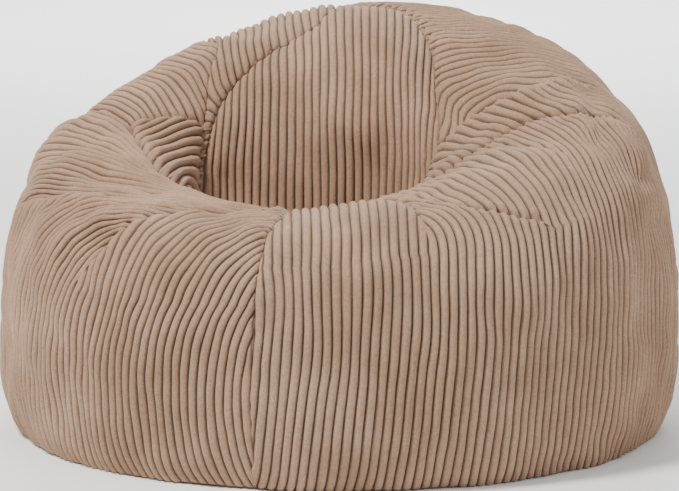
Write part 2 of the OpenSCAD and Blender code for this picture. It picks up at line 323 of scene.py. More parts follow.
class Edge:
    """How one side of a panel goes down into its seam or fold.

    at is the angle of the seam at each level. drop is how far the seam lies below the plain body, roll
    the radius of the rounded edge, which stands proud where it is more than drop, and reach the width of
    the slope beside it. Sizes are numbers or (level, size) points, in millimetres.
    """

    def __init__(self, at, drop, roll, reach, first=0.0, last=4.0):
        def sized(v):
            if isinstance(v, tuple):
                return curve(*[(t, size / 1000) for t, size in v])
            return constant(v / 1000)
        self.at, self.drop, self.roll, self.reach = at, sized(drop), sized(roll), reach / 1000
        self.line = Line(at, first, last)

    def depth(self, place, t):
        gap, drop = self.line.gap(place), self.drop(t)
        roll = np.maximum(self.roll(t) * smooth(drop / 0.002), 1e-5)
        edge = np.clip(1 - gap / roll, 0, 1)
        rounded = roll * (1 - np.sqrt(1 - edge * edge))
        sewn = smooth(drop / 0.001)
        return rounded + (drop - roll) * (1 - smooth(gap / self.reach)), gap, gap + 0.05 * (1 - sewn)


class Fold:
    """A ridge, or a crease if height is below 0, along points of (angle, level)."""

    def __init__(self, points, height, width, sharp=False, fade=0.25):
        self.height, self.width, self.sharp, self.fade = height, width, sharp, fade
        k = np.linspace(0, len(points) - 1, 16 * len(points))
        a = curve(*[(i, math.radians(p[0])) for i, p in enumerate(points)])(k)
        t = curve(*[(i, p[1]) for i, p in enumerate(points)])(k)
        self.line = skin(a, t)
        along = np.linspace(0, 1, len(k))
        self.size = height * smooth(along / fade) * smooth((1 - along) / fade)

    def lift(self, place):
        out = np.zeros(len(place))
        low, high = self.line.min(0) - 4 * self.width, self.line.max(0) + 4 * self.width
        near = np.flatnonzero(np.all((place > low) & (place < high), axis=1))
        for i in range(0, len(near), CHUNK):
            some = near[i:i + CHUNK]
            p = place[some]
            square = (p * p).sum(1)[:, None] - 2 * p @ self.line.T + (self.line ** 2).sum(1)[None]
            nearest = square.argmin(1)
            x = np.sqrt(np.maximum(square[np.arange(len(p)), nearest], 0)) / self.width
            out[some] = self.size[nearest] * (np.exp(-1.4 * x) if self.sharp else np.exp(-x * x))
        return out


FOLDS = [
    Fold([(68, 2.42), (73, 2.3), (73, 2.2), (72, 2.1), (71, 2.0), (71, 1.9), (73, 1.75)],
         -0.006, 0.006, True),
    Fold([(60, 2.3), (66, 2.2), (66, 2.1), (65, 1.95), (67, 1.8)], 0.005, 0.014),
    Fold([(-60, 1.8), (-50, 1.92), (-40, 2.03), (-28, 2.1)], -0.007, 0.020),
    Fold([(-46, 1.4), (-38, 1.55), (-32, 1.7), (-26, 1.85)], 0.007, 0.016),
    Fold([(-110, 1.35), (-100, 1.55), (-84, 1.65), (-70, 1.62)], 0.005, 0.024),
    Fold([(-90, 1.3), (-80, 1.45), (-66, 1.55)], -0.004, 0.018),
    Fold([(112, 1.95), (98, 1.86), (84, 1.78), (76, 1.7)], -0.005, 0.016),
    Fold([(116, 2.1), (104, 1.97), (90, 1.9), (80, 1.83)], 0.005, 0.014),
    Fold([(96, 1.2), (88, 1.32), (80, 1.36)], -0.004, 0.014),
    Fold([(104, 1.36), (92, 1.46), (82, 1.5)], -0.004, 0.013),
    Fold([(160, 1.3), (172, 1.5), (186, 1.7)], -0.005, 0.03),
    Fold([(-150, 1.25), (-160, 1.5), (-168, 1.75)], 0.005, 0.03),
]
LUMPS = Wobble(0.16, 5)
DIMPLES = Wobble(0.055, 11)
WANDER = Wobble(0.09, 23)
PUCKERS = Wobble(0.022, 31)
# How far the cloth's base sinks under the plain body, and how high each kind of noise reaches
CLOTH_SINK = 0.0034
LUMP_HEIGHT = 0.0024
DIMPLE_HEIGHT = 0.0010
PUCKER_HEIGHT = 0.0008
PUCKER_REACH = 0.02
WANDER_WIDTH = 0.0005
# The cover's skin never sinks further than this, so it stays clear of the liner
DEEPEST = -0.0138
DEEPEST_BLEND = 0.002
# Width of the cloth turned in beyond a seam, and of the rounded end of a wale
SEAM_ALLOWANCE = 0.004
WALE_END = 0.005
FLOOR_CLEARANCE = 0.0006

# Length along each level line of the body, from a fixed angle, for measuring cloth across the wales
TABLE_ANGLES = np.radians(np.arange(-240.0, 301.0, 1.0))
TABLE_LEVELS = np.linspace(0, 4, 401)
TABLE = skin(TABLE_ANGLES[:, None], TABLE_LEVELS[None])
ARC = np.concatenate([
    np.zeros((1, len(TABLE_LEVELS))), np.cumsum(np.linalg.norm(np.diff(TABLE, axis=0), axis=2), axis=0)])
ARC -= ARC[240]


def arc_row(t):
    """Length from the front along the level line t, at each of the table's angles."""
    k = min(max(t, 0.0), 3.9999) * 100
    i = int(k)
    return ARC[:, i] * (1 - (k - i)) + ARC[:, i + 1] * (k - i)


# Distance between the mesh's rows, and the most that wales lean, in degrees
ROW_STEP = 0.0078
STEEPEST_LEAN = 78


def even_levels():
    """Level lines that every panel's mesh shares, so that neighbours meet point for point."""
    t = np.linspace(0, 4, 1601)
    length = np.zeros_like(t)
    for a in (0.0, 1.6, 3.2, 4.7):
        length[1:] += np.linalg.norm(np.diff(skin(np.full_like(t, a), t), axis=0), axis=1) / 4
    length = np.cumsum(length)
    # The hollow's foot stays hidden, so its rows lie further apart
    length = np.where(t < 3, length, np.interp(3.0, t, length) + (length - np.interp(3.0, t, length)) * 0.6)
    return np.interp(np.linspace(0, length[-1], int(length[-1] / ROW_STEP) + 1), length, t)


class Strip:
    """Part of a panel between two edges, with the way that its wales run.

    start is the angle of its guide wale at the level since, and lean how far that wale leans from upright
    towards the right, in degrees at each level. The other wales keep their distance from it. Below since
    the wales run as in the strip base, so that strips of one panel part only where its folds begin.
    plump makes the wales stand higher where spare cloth is pushed together. A centred strip is measured
    from its own middle line in place of one wale, for wales that run across it.
    """

    def __init__(self, left, right, start, lean, since=1.0, base=None, first=0.0, plump=1.0,
                 centred=False):
        self.left, self.right, self.first, self.since, self.base = left, right, first, since, base
        self.plump = plump
        start = math.radians(start)
        t = np.linspace(0, 4, 801)
        tilt = np.radians(np.clip(curve(*lean)(t), -STEEPEST_LEAN, STEEPEST_LEAN))
        a = np.full_like(t, start)
        for _ in range(3):
            middle = (a[1:] + a[:-1]) / 2
            step = np.linalg.norm(skin(middle, t[1:]) - skin(middle, t[:-1]), axis=1)
            turn = np.tan((tilt[1:] + tilt[:-1]) / 2) * step / ring_at(middle, (t[1:] + t[:-1]) / 2)
            a = start + np.concatenate([[0.0], np.cumsum(turn)])
            a -= np.interp(since, t, a) - start
        self.levels, self.guide, self.tilt = t, a, tilt
        middle = np.full_like(t, start)
        steps = np.linalg.norm(np.diff(skin(middle, t), axis=0), axis=1)
        self.length = np.concatenate([[0.0], np.cumsum(steps)])
        travelled = np.zeros_like(t)
        if centred:
            self.guide = (left.at(t) + right.at(t)) / 2
            start = np.interp(since, t, self.guide)
            middle = (self.guide[1:] + self.guide[:-1]) / 2
            step = np.linalg.norm(skin(middle, t[1:]) - skin(middle, t[:-1]), axis=1)
            run = np.diff(self.guide) * ring_at(middle, (t[1:] + t[:-1]) / 2)
            lean_here = (tilt[1:] + tilt[:-1]) / 2
            travelled[1:] = np.cumsum(np.cos(lean_here) * run - np.sin(lean_here) * step)
            travelled -= np.interp(since, t, travelled)
        if base:
            self.offset = float(base.across(np.array(start), since)) + travelled
        else:
            self.offset = np.interp(start, TABLE_ANGLES, arc_row(since)) + travelled

    def row(self, t):
        """What turns an angle on the level line t into cloth: arcs, origin, scale and offset."""
        if self.base and t < self.since:
            return self.base.row(t)
        arcs = arc_row(t)
        origin = np.interp(np.interp(t, self.levels, self.guide), TABLE_ANGLES, arcs)
        scale = max(math.cos(np.interp(t, self.levels, self.tilt)), 0.2)
        return arcs, origin, scale, np.interp(t, self.levels, self.offset)

    def across(self, a, t):
        arcs, origin, scale, offset = self.row(t)
        return (np.interp(a, TABLE_ANGLES, arcs) - origin) * scale + offset

    def angle(self, w, t):
        arcs, origin, scale, offset = self.row(t)
        return np.interp((w - offset) / scale + origin, arcs, TABLE_ANGLES)


def wale_profile(u):
    """Height of the pile across a wale, 0 in the groove and 1 on top."""
    x = np.abs(2 * (u - np.floor(u)) - 1)
    return (1 - x ** 2.2) ** 0.75


def strip_mesh(strip):
    """Grid of one strip laid on the plain body, with its columns along the wales."""
    t = even_levels()
    t = t[t >= strip.first - 1e-9]
    if strip.first > t[0] - 0.03:
        t[0] = strip.first
    left, right = strip.left.at(t), strip.right.at(t)
    right = np.maximum(left, right)
    open_rows = [i for i in range(len(t)) if right[i] - left[i] > 1e-4]
    reach = [strip.across(np.array([left[i], right[i]]), t[i]) for i in open_rows]
    first, last = math.floor(min(r[0] for r in reach) / WALE), math.ceil(max(r[1] for r in reach) / WALE)
    w = np.array([(i + c) * WALE for i in range(first, last) for c in WALE_COLUMNS] + [last * WALE])
    work = bmesh.new()
    bmesh.ops.create_grid(work, x_segments=len(w) - 1, y_segments=len(t) - 1, size=1.0)
    mesh = bpy.data.meshes.new("strip")
    work.to_mesh(mesh)
    work.free()
    flat = places(mesh)
    column = np.rint((flat[:, 0] + 1) / 2 * (len(w) - 1)).astype(int)
    row = np.rint((flat[:, 1] + 1) / 2 * (len(t) - 1)).astype(int)
    angles = np.array([np.clip(strip.angle(w, t[i]), left[i], right[i]) for i in range(len(t))])
    cloths = np.array([strip.across(angles[i], t[i]) for i in range(len(t))])
    level, angle, cloth = t[row], angles[row, column], cloths[row, column]
    along = np.interp(level, strip.levels, strip.length)
    place = skin(angle, level)
    drop_left, gap_left, edge_left = strip.left.depth(place, level)
    drop_right, gap_right, edge_right = strip.right.depth(place, level)
    share = gap_right ** 2 / (gap_left ** 2 + gap_right ** 2 + 1e-12)
    share = np.where((gap_left < 1e-5) & (gap_right < 1e-5), 0.5, share)
    mesh.vertices.foreach_set("co", place.ravel())
    for name, values in (
            ("angle", angle), ("level", level), ("cloth", cloth),
            ("drop", share * drop_left + (1 - share) * drop_right),
            ("edge", np.minimum(edge_left, edge_right)),
            ("plump", 1 + (strip.plump - 1) * smooth((level - strip.since) / 0.15))):
        mesh.attributes.new(name, "FLOAT", "POINT").data.foreach_set("value", values.astype(np.float32))
    corner = corners(mesh)
    uv = np.stack([cloth[corner] / WALE, along[corner] / WALE], -1)
    mesh.uv_layers.new(name="wales").data.foreach_set("uv", uv.ravel().astype(np.float32))
    return mesh


def corners(mesh):
    """Which vertex lies at each corner of the faces."""
    corner = np.zeros(len(mesh.loops), np.int32)
    mesh.loops.foreach_get("vertex_index", corner)
    return corner


def read(mesh, name):
    values = np.zeros(len(mesh.vertices), np.float32)
    mesh.attributes[name].data.foreach_get("value", values)
    return values.astype(float)


def places(mesh):
    flat = np.zeros(len(mesh.vertices) * 3)
    mesh.vertices.foreach_get("co", flat)
    return flat.reshape(-1, 3)


class Nodes:
    """Short names for building a material."""

    def __init__(self, name, **constants):
        self.material = bpy.data.materials.new(name)
        self.material.use_nodes = True
        self.tree = self.material.node_tree
        self.shader = self.tree.nodes["Principled BSDF"]
        for socket, value in constants.items():
            self.shader.inputs[socket.replace("_", " ")].default_value = value

    def add(self, kind, values=(), **settings):
        node = self.tree.nodes.new(kind)
        for key, value in settings.items():
            setattr(node, key, value)
        for socket, value in dict(values).items():
            if hasattr(value, "is_linked"):
                self.tree.links.new(value, node.inputs[socket])
            else:
                node.inputs[socket].default_value = value
        return node

    def math(self, operation, *values):
        return self.add("ShaderNodeMath", dict(enumerate(values)), operation=operation).outputs[0]

    def noise(self, where, scale, detail=2.0, roughness=0.5):
        return self.add("ShaderNodeTexNoise", {
            "Vector": where, "Scale": scale, "Detail": detail, "Roughness": roughness}).outputs["Fac"]

    def spread(self, value, low, high, to_low, to_high):
        return self.add("ShaderNodeMapRange", {
            "Value": value, "From Min": low, "From Max": high, "To Min": to_low,
            "To Max": to_high}).outputs[0]

    def product(self, *values):
        result = values[0]
        for value in values[1:]:
            result = self.math("MULTIPLY", result, value)
        return result

    def tinted(self, colour, factor):
        return self.add("ShaderNodeVectorMath", {0: colour, "Scale": factor}, operation="SCALE").outputs[0]

    def paint(self, colour, height=None, distance=0.001, strength=1.0):
        self.tree.links.new(colour, self.shader.inputs["Base Color"])
        if height is not None:
            bump = self.add("ShaderNodeBump", {"Height": height, "Distance": distance, "Strength": strength})
            self.tree.links.new(bump.outputs[0], self.shader.inputs["Normal"])
        return self.material


def corduroy_material():
    m = Nodes("corduroy", Roughness=0.92, Sheen_Weight=0.28, Sheen_Roughness=0.45,
              Sheen_Tint=(1.0, 0.80, 0.66, 1.0), Specular_IOR_Level=0.2)
    place = m.add("ShaderNodeTexCoord").outputs["Object"]
    wales = m.add("ShaderNodeUVMap", uv_map="wales").outputs[0]
    u = m.add("ShaderNodeSeparateXYZ", {0: wales}).outputs[0]
    from_top = m.math("ABSOLUTE", m.math("SUBTRACT", m.math("FRACT", u), 0.5))
    # Across every wale the colour is scaled by painted shade in the grooves and a painted sheen line beside
    # each rib top
    across = m.add("ShaderNodeValToRGB", {0: m.math("MULTIPLY", from_top, 2.0)})
    groove_shade_and_rim_sheen_ramp = across.color_ramp
    for at, value in ((0.0, 1.1), (0.35, 1.1), (0.55, 1.12), (0.72, 0.9), (0.86, 0.5), (1.0, 0.26)):
        stop = groove_shade_and_rim_sheen_ramp.elements.new(at) if at not in (0.0, 1.0) else groove_shade_and_rim_sheen_ramp.elements[0 if at == 0.0 else -1]
        stop.color = (value, value, value, 1.0)
    pile = m.noise(place, 620.0, 2.0, 0.6)
    tufts = m.noise(place, 210.0, 1.0)
    patches = m.noise(place, 9.0, 3.0, 0.55)
    along_wales = m.add("ShaderNodeMapping", {"Vector": wales, "Scale": (1.3, 0.12, 1.0)}).outputs[0]
    brushed = m.noise(along_wales, 1.0, 2.0)
    factor = m.product(
        across.outputs["Color"], m.spread(pile, 0.3, 0.7, 0.80, 1.17), m.spread(tufts, 0.3, 0.7, 0.93, 1.07),
        m.spread(patches, 0.3, 0.7, 0.88, 1.12), m.spread(brushed, 0.25, 0.75, 0.93, 1.08))
    colour = m.add("ShaderNodeMix", {0: m.spread(patches, 0.35, 0.65, 0.0, 1.0)}, data_type="RGBA")
    colour.inputs[6].default_value = (0.302, 0.186, 0.117, 1.0)
    colour.inputs[7].default_value = (0.334, 0.214, 0.143, 1.0)
    height = m.math("ADD", m.math("MULTIPLY", pile, 0.8), m.math("MULTIPLY", tufts, 0.5))
    return m.paint(m.tinted(colour.outputs[2], factor), height, 0.0009, 0.7)


cord = corduroy_material()


def add_piece(name, mesh, material, body, slot, *nodes):
    """Add a piece with its material and body, and hide the plain pieces that it stands for. slot is not
    used.
    """
    mesh.update()
    mesh.shade_smooth()
    piece = bpy.data.objects.new(name, mesh)
    bpy.context.scene.collection.objects.link(piece)
    mesh.materials.append(material)
    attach(piece, body)
    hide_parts(*nodes)
    return piece


def corduroy_panel(name, node, strips):
    """Panel sewn from strips, with seams, folds and wales, and its edges turned in."""
    work = bmesh.new()
    for strip in strips:
        mesh = strip_mesh(strip)
        work.from_mesh(mesh)
        bpy.data.meshes.remove(mesh)
    bmesh.ops.remove_doubles(work, verts=work.verts[:], dist=4e-5)
    bmesh.ops.dissolve_degenerate(work, edges=work.edges[:], dist=4e-5)
    mesh = bpy.data.meshes.new(name)
    work.to_mesh(mesh)
    work.free()
    angle, level, cloth, edge = (read(mesh, n) for n in ("angle", "level", "cloth", "edge"))
    place = skin(angle, level)
    out = outward(angle, level)
    lift = -CLOTH_SINK - read(mesh, "drop")
    lift += LUMP_HEIGHT * np.tanh(LUMPS(place)) + DIMPLE_HEIGHT * np.tanh(DIMPLES(place))
    for fold in FOLDS:
        lift += fold.lift(place)
    lift += PUCKER_HEIGHT * PUCKERS(place) * np.exp(-edge / PUCKER_REACH)
    lift = DEEPEST + DEEPEST_BLEND * np.logaddexp(0, (lift - DEEPEST) / DEEPEST_BLEND)
    lift *= smooth(level / 0.25)
    place += out * lift[:, None]
    aside = np.stack([np.cos(angle), np.sin(angle), np.zeros_like(angle)], -1)
    place += aside * (WANDER_WIDTH * WANDER(place) * smooth(edge / 0.03) * smooth(level / 0.5))[:, None]
    mesh.vertices.foreach_set("co", place.ravel())
    mesh.update()
    normal = np.zeros(len(mesh.vertices) * 3, np.float32)
    mesh.vertices.foreach_get("normal", normal)
    normal = normal.reshape(-1, 3).astype(float)
    height = WALE_HEIGHT * read(mesh, "plump") * wale_profile(cloth / WALE) * (1 + 0.10 * DIMPLES(place))
    height *= np.sqrt(np.clip(edge / WALE_END, 0, 1)) * smooth(level / 0.12)
    place += normal * height[:, None]
    place[:, 2] = np.maximum(place[:, 2], FLOOR_CLEARANCE)
    mesh.vertices.foreach_set("co", place.ravel())
    work = bmesh.new()
    work.from_mesh(mesh)
    turned = bmesh.ops.extrude_edge_only(work, edges=[e for e in work.edges if e.is_boundary])["geom"]
    angle_layer, level_layer = work.verts.layers.float["angle"], work.verts.layers.float["level"]
    for corner in turned:
        if isinstance(corner, bmesh.types.BMVert):
            out_here = outward(np.array([corner[angle_layer]]), np.array([corner[level_layer]]))[0]
            corner.co -= Vector(out_here) * SEAM_ALLOWANCE
    work.to_mesh(mesh)
    work.free()
    return add_piece(name, mesh, cord, "root", "corduroy", node)


FRONT_SEAM_DROP = ((0, 0), (0.3, 0), (0.7, 2.5), (1.4, 3), (1.8, 5), (2.2, 6), (4, 4))
SIDE_SEAM_DROP = ((0, 0), (0.3, 0), (0.7, 3), (1.5, 4), (1.8, 6), (2, 10), (2.3, 12), (3, 11), (4, 4))
ARCH_DROP = ((0, 0), (0.3, 0), (0.7, 3), (1.6, 4), (2, 5), (2.4, 7), (3, 7), (4, 3))

# Left front panel, with two folds where spare cloth lies over the lip
LOW_FOLD = angle_curve(
    (0, -38), (1, -38), (1.3, -35), (1.51, -30), (1.62, -28), (1.76, -25), (1.88, -20), (2, -13),
    (2.15, -5), (2.3, -1), (4, 0))
HIGH_FOLD = angle_curve(
    (0, -80), (1, -80), (1.25, -77), (1.41, -71), (1.5, -65), (1.6, -58), (1.75, -48), (1.85, -38),
    (1.95, -27), (2.05, -17), (2.2, -8), (2.4, -3), (4, -2))
FOLD_DROP = ((0, 0), (1.25, 0), (1.45, 1), (1.6, 3), (1.9, 4), (2.2, 4), (3, 2), (4, 0))
left_wales = Strip(None, None, -50, ((0, 0), (0.9, 0), (1.1, 6), (1.25, 10), (1.4, 16), (2, 30), (4, 0)))
front_left = corduroy_panel("front_left_cover", "front_left_panel", [
    Strip(
        Edge(LEFT_SEAM, SIDE_SEAM_DROP, 3, 45),
        Edge(HIGH_FOLD, FOLD_DROP, 3, 30), -86,
        ((0, 0), (1.2, 9), (1.3, 13), (1.4, 24), (1.6, 43), (1.75, 52), (2, 50), (2.2, 46), (2.6, 40),
         (4, 10)), 1.28, left_wales, plump=1.35),
    Strip(
        Edge(HIGH_FOLD, FOLD_DROP, ((0, 3), (1.5, 3), (1.7, 8), (2.1, 8), (4, 3)), 35),
        Edge(LOW_FOLD, FOLD_DROP, 2, 25), -54,
        ((0, 0), (1.2, 9), (1.3, 13), (1.42, 20), (1.56, 30), (1.7, 44), (1.85, 58), (2, 64), (2.2, 58),
         (2.6, 40), (4, 0)), 1.28, left_wales, plump=1.2),
    Strip(
        Edge(LOW_FOLD, FOLD_DROP, ((0, 2), (1.4, 2), (1.6, 6), (2.1, 6), (4, 2)), 30),
        Edge(FRONT_SEAM, FRONT_SEAM_DROP, 2.5, 25), -18,
        ((0, 0), (1.2, 9), (1.3, 13), (1.45, 20), (1.6, 30), (1.75, 41), (1.9, 49), (2, 51), (2.3, 45),
         (3, 20), (4, 0)), 1.28, left_wales)])

# Right front panel, which breaks over the corner of the arm along a soft kink
KINK = angle_curve(
    (0, 55), (1.45, 55), (1.57, 53), (1.62, 50), (1.68, 47), (1.75, 43), (1.85, 39.5), (1.98, 37),
    (2.1, 36), (2.3, 36), (4, 36))
INNER_FOLD = angle_curve((0, 30), (1, 30), (1.6, 31), (1.9, 32), (2.1, 33), (4, 33))
KINK_DROP = ((0, 0), (1.5, 0), (1.62, 2), (1.9, 3), (2.2, 2), (4, 0))
INNER_DROP = ((0, 0), (1.7, 0), (1.9, 2), (2.2, 3), (4, 0))
right_wales = Strip(None, None, 33, ((0, 2), (0.9, 5), (1.2, 7), (1.35, 9), (1.5, 11), (2, 20), (4, 0)))
front_right = corduroy_panel("front_right_cover", "front_right_panel", [
    Strip(
        Edge(FRONT_SEAM, FRONT_SEAM_DROP, 2.5, 25),
        Edge(INNER_FOLD, INNER_DROP, 2, 20), 14,
        ((0, 2), (1.3, 5), (1.5, 5), (1.8, 5), (2.1, 6), (4, 4)), 1.5, right_wales),
    Strip(
        Edge(INNER_FOLD, INNER_DROP, 2, 20),
        Edge(KINK, KINK_DROP, 4, 25), 42,
        ((0, 8), (1.4, 12), (1.52, 10), (1.62, 1), (1.7, -8), (1.85, -14), (2, -18), (2.3, -10), (4, 0)),
        1.5, right_wales),
    Strip(
        Edge(KINK, KINK_DROP, 4, 25),
        Edge(RIGHT_SEAM, SIDE_SEAM_DROP, ((0, 3), (1.7, 3), (2, 9), (3, 9), (4, 4)), 45), 68,
        ((0, 14), (1.4, 16), (1.5, 19), (1.6, 24), (1.7, 28), (1.85, 34), (2, 38), (2.4, 38), (3, 20),
         (4, 0)), 1.5, right_wales)])

# ---------------------------------------------------------------------------------------------
# Rear left and rear right panels
# Two panels of the same corduroy that meet in a seam down the back and wrap forwards over the arms.
# Where the arms run into the hollow their spare cloth lies in heavy rolls against the front panels.
# ---------------------------------------------------------------------------------------------
LEFT_ROLL = angle_curve(
    (0, -126), (1.5, -126), (1.8, -129), (1.95, -131), (2.05, -129), (2.2, -121), (2.3, -116),
    (2.47, -109), (2.6, -103), (2.78, -96.5), (3, -91), (4, -84))
ROLL_DROP = ((0, 0), (1.75, 0), (1.95, 4), (2.1, 8), (2.4, 9), (2.6, 9), (3, 8), (4, 2))
sausage_top = angle_curve(
    (2.0, -84), (2.06, -85), (2.15, -88), (2.3, -93), (2.45, -99), (2.6, -103), (4, -60))


def SAUSAGE_TOP(t):
    """Where the rolls beside the left front panel begin: from its seam across to the fold."""
    seam, fold = LEFT_SEAM(t), LEFT_ROLL(t)
    return np.where(t < 2.03, seam, np.where(t > 2.6, fold, np.clip(sausage_top(t), fold, seam)))


SAUSAGE_DROP = (
    (0, 0), (0.3, 0), (0.7, 3), (1.5, 4), (1.8, 6), (2, 10), (2.03, 10.1), (2.1, 5), (2.4, 5), (2.6, 9),
    (3, 8), (4, 2))
rear_left_wales = Strip(None, None, -124, ((0, 0), (1.2, 0), (1.6, 6), (1.8, 10), (2, 16), (4, 0)))
rear_left = corduroy_panel("rear_left_cover", "rear_left_panel", [
    Strip(
        Edge(ARCH_LEFT, ARCH_DROP, 3, 25),
        Edge(LEFT_ROLL, ROLL_DROP, ((0, 1), (1.8, 1), (2, 9), (3, 9), (4, 2)), 25), -146,
        ((0, 0), (1.8, 6), (2, 12), (2.25, 8), (2.4, -8), (2.6, -50), (2.75, -66), (3, -66), (4, 0)),
        1.8, rear_left_wales, centred=True),
    Strip(
        Edge(LEFT_ROLL, ROLL_DROP, 2, 30),
        Edge(SAUSAGE_TOP, SAUSAGE_DROP, 3, 20), -110,
        ((0, 0), (1.8, 14), (2, 20), (2.15, 28), (2.25, 26), (2.4, 14), (2.55, 0), (4, 0)),
        1.8, rear_left_wales, centred=True),
    Strip(
        Edge(SAUSAGE_TOP, SAUSAGE_DROP, 5, 20),
        Edge(LEFT_SEAM, SIDE_SEAM_DROP, ((0, 3), (1.8, 3), (2.05, 14), (3, 13), (4, 4)), 40), -84,
        ((0, -50), (2.03, -54), (2.2, -62), (2.4, -67), (2.8, -69), (3, -60), (4, 0)),
        2.0, None, 2.0, 1.5, True)])

RIGHT_ROLL = angle_curve(
    (0, 116), (1.2, 116), (1.5, 114), (1.8, 109), (1.95, 105.5), (2.1, 102.5), (2.21, 100), (2.34, 98),
    (2.48, 97), (2.6, 96.5), (2.7, 97), (2.8, 97.5), (2.95, 97), (4, 91))
rear_right_wales = Strip(
    None, None, 120, ((0, 0), (1.2, 0), (1.4, 10), (1.7, 20), (1.9, 26), (2, 27), (4, 0)))
rear_right = corduroy_panel("rear_right_cover", "rear_right_panel", [
    Strip(
        Edge(RIGHT_SEAM, SIDE_SEAM_DROP, ((0, 3), (1.7, 3), (2, 8), (3, 9), (4, 4)), 30),
        Edge(RIGHT_ROLL, ROLL_DROP, ((0, 1), (1.8, 1), (2, 14), (2.2, 22), (3, 22), (4, 3)), 55), 96,
        ((0, 20), (1.9, 24), (2.05, 36), (2.2, 44), (2.5, 50), (2.8, 50), (4, 0)),
        1.88, rear_right_wales, 0.0, 1.25),
    Strip(
        Edge(RIGHT_ROLL, ROLL_DROP, 2, 35),
        Edge(ARCH_RIGHT, ARCH_DROP, 4, 25), 126,
        ((0, 20), (1.9, 28), (2, 30), (2.3, 34), (2.5, 44), (2.6, 56), (2.75, 64), (3, 50), (4, 0)),
        1.88, rear_right_wales)])

# ---------------------------------------------------------------------------------------------
# Backrest panel
# An arched panel of the same corduroy, let in between the rear panels from the seat to just under
# the crest, with its wales upright.
# ---------------------------------------------------------------------------------------------
backrest = corduroy_panel("backrest_cover", "backrest_panel", [Strip(
    Edge(ARCH_RIGHT, ARCH_DROP, 2.5, 25, ARCH_LEVEL),
    Edge(lambda t: ARCH_LEFT(t) + 2 * math.pi, ARCH_DROP, 2.5, 25, ARCH_LEVEL),
    200, ((0, 0), (4, 0)), 1.0, None, ARCH_LEVEL)])

# ---------------------------------------------------------------------------------------------
# Seat panel
# A round panel of corduroy at the bottom of the hollow, sewn to the five panels round it and
# crowned by the beads under it.
# ---------------------------------------------------------------------------------------------
def merge_near(mesh, distance, shortest):
    """Merge points that lie nearer than distance, and drop edges under the shortest length."""
    work = bmesh.new()
    work.from_mesh(mesh)
    bmesh.ops.remove_doubles(work, verts=work.verts[:], dist=distance)
    bmesh.ops.dissolve_degenerate(work, edges=work.edges[:], dist=shortest)
    work.to_mesh(mesh)
    work.free()


def grid(columns, rows, shape):
    """Mesh of a grid whose points come from shape(u, v), with u and v from 0 to 1."""
    work = bmesh.new()
    bmesh.ops.create_grid(work, x_segments=columns, y_segments=rows, size=1.0)
    mesh = bpy.data.meshes.new("grid")
    work.to_mesh(mesh)
    work.free()
    flat = places(mesh)
    u, v = (flat[:, 0] + 1) / 2, (flat[:, 1] + 1) / 2
    mesh.vertices.foreach_set("co", shape(u, v).ravel())
    corner = corners(mesh)
    mesh.uv_layers.new(name="wales").data.foreach_set(
        "uv", np.stack([u[corner] * columns, v[corner] * rows], -1).ravel().astype(np.float32))
    merge_near(mesh, 2e-5, 2e-5)
    return mesh


def thicken(piece, thickness, offset=-1.0):
    solid = piece.modifiers.new("thickness", "SOLIDIFY")
    solid.thickness = thickness
    solid.offset = offset


def half_breadth(x, outline):
    """Lowest and highest y of a closed outline at each x."""
    front, back = outline[: len(outline) // 2 + 1], outline[len(outline) // 2:]
    order_front, order_back = np.argsort(front[:, 0]), np.argsort(back[:, 0])
    return (np.interp(x, front[order_front, 0], front[order_front, 1]),
            np.interp(x, back[order_back, 0], back[order_back, 1]))


def across_outline(outline, u):
    """Place x at the share u of an outline's width, and its lowest and highest y there."""
    low_x, high_x = outline[:, 0].min() + 1e-4, outline[:, 0].max() - 1e-4
    x = low_x + (high_x - low_x) * u
    return (x, *half_breadth(x, outline))


def outline_at(t, inset):
    """Points of the body's outline at level t, from the left round the front to the right and the back."""
    a = np.radians(np.linspace(-90, 270, 721))
    points = skin(a, np.full_like(a, float(t)))
    radial = np.stack([np.sin(a), -np.cos(a)], -1)
    return points[:, :2] - inset * radial


seat_outline = outline_at(4, -0.004)
SEAT_HALF_DEPTH = 0.085
SEAT_WALE_HEIGHT = 0.0032
# How far the seat's edge lies under the plain body, and how far the beads crown its middle
SEAT_SINK = 0.0065
SEAT_CROWN = 0.008


def seat_shape(u, v):
    x, low_y, high_y = across_outline(seat_outline, u)
    y = low_y + (high_y - low_y) * v
    middle = (seat_outline[:, 0].min() + seat_outline[:, 0].max()) / 2
    half_width = (seat_outline[:, 0].max() - seat_outline[:, 0].min()) / 2 - 1e-4
    far = np.hypot((x - middle) / half_width, y / SEAT_HALF_DEPTH)
    rib = wale_profile(x / WALE) * SEAT_WALE_HEIGHT * smooth((1 - far) / 0.15)
    return np.stack([x, y, SEAT_HEIGHT - SEAT_SINK + SEAT_CROWN * (1 - smooth(far)) + rib], -1)


seat = add_piece("seat_cover", grid(112, 40, seat_shape), cord, "root", "corduroy", "seat_panel")
uv = seat.data.uv_layers["wales"].data
flat = places(seat.data)[corners(seat.data)]
uv.foreach_set("uv", (flat[:, :2] / WALE).ravel().astype(np.float32))
thicken(seat, 0.0015)

# ---------------------------------------------------------------------------------------------
# Base panels and care label
# Two half rounds of plain woven canvas that close the cover underneath, hemmed along the zip between
# them, and a small satin label laid inside on the front one.
# ---------------------------------------------------------------------------------------------
STOP_LOW, STOP_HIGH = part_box("zip_top_stop")
SLOT_END = max(abs(STOP_LOW.x), abs(STOP_HIGH.x))
SLOT_HALF = 0.0074
# How far the slot runs past the stops, and the length over which it closes
SLOT_PLAY = 0.005
SLOT_CLOSE = 0.004
HEM_WIDTH = 0.012
STITCH_LINE = 0.010
STITCH_WIDTH = 0.0012
STITCH_LENGTH = 0.004


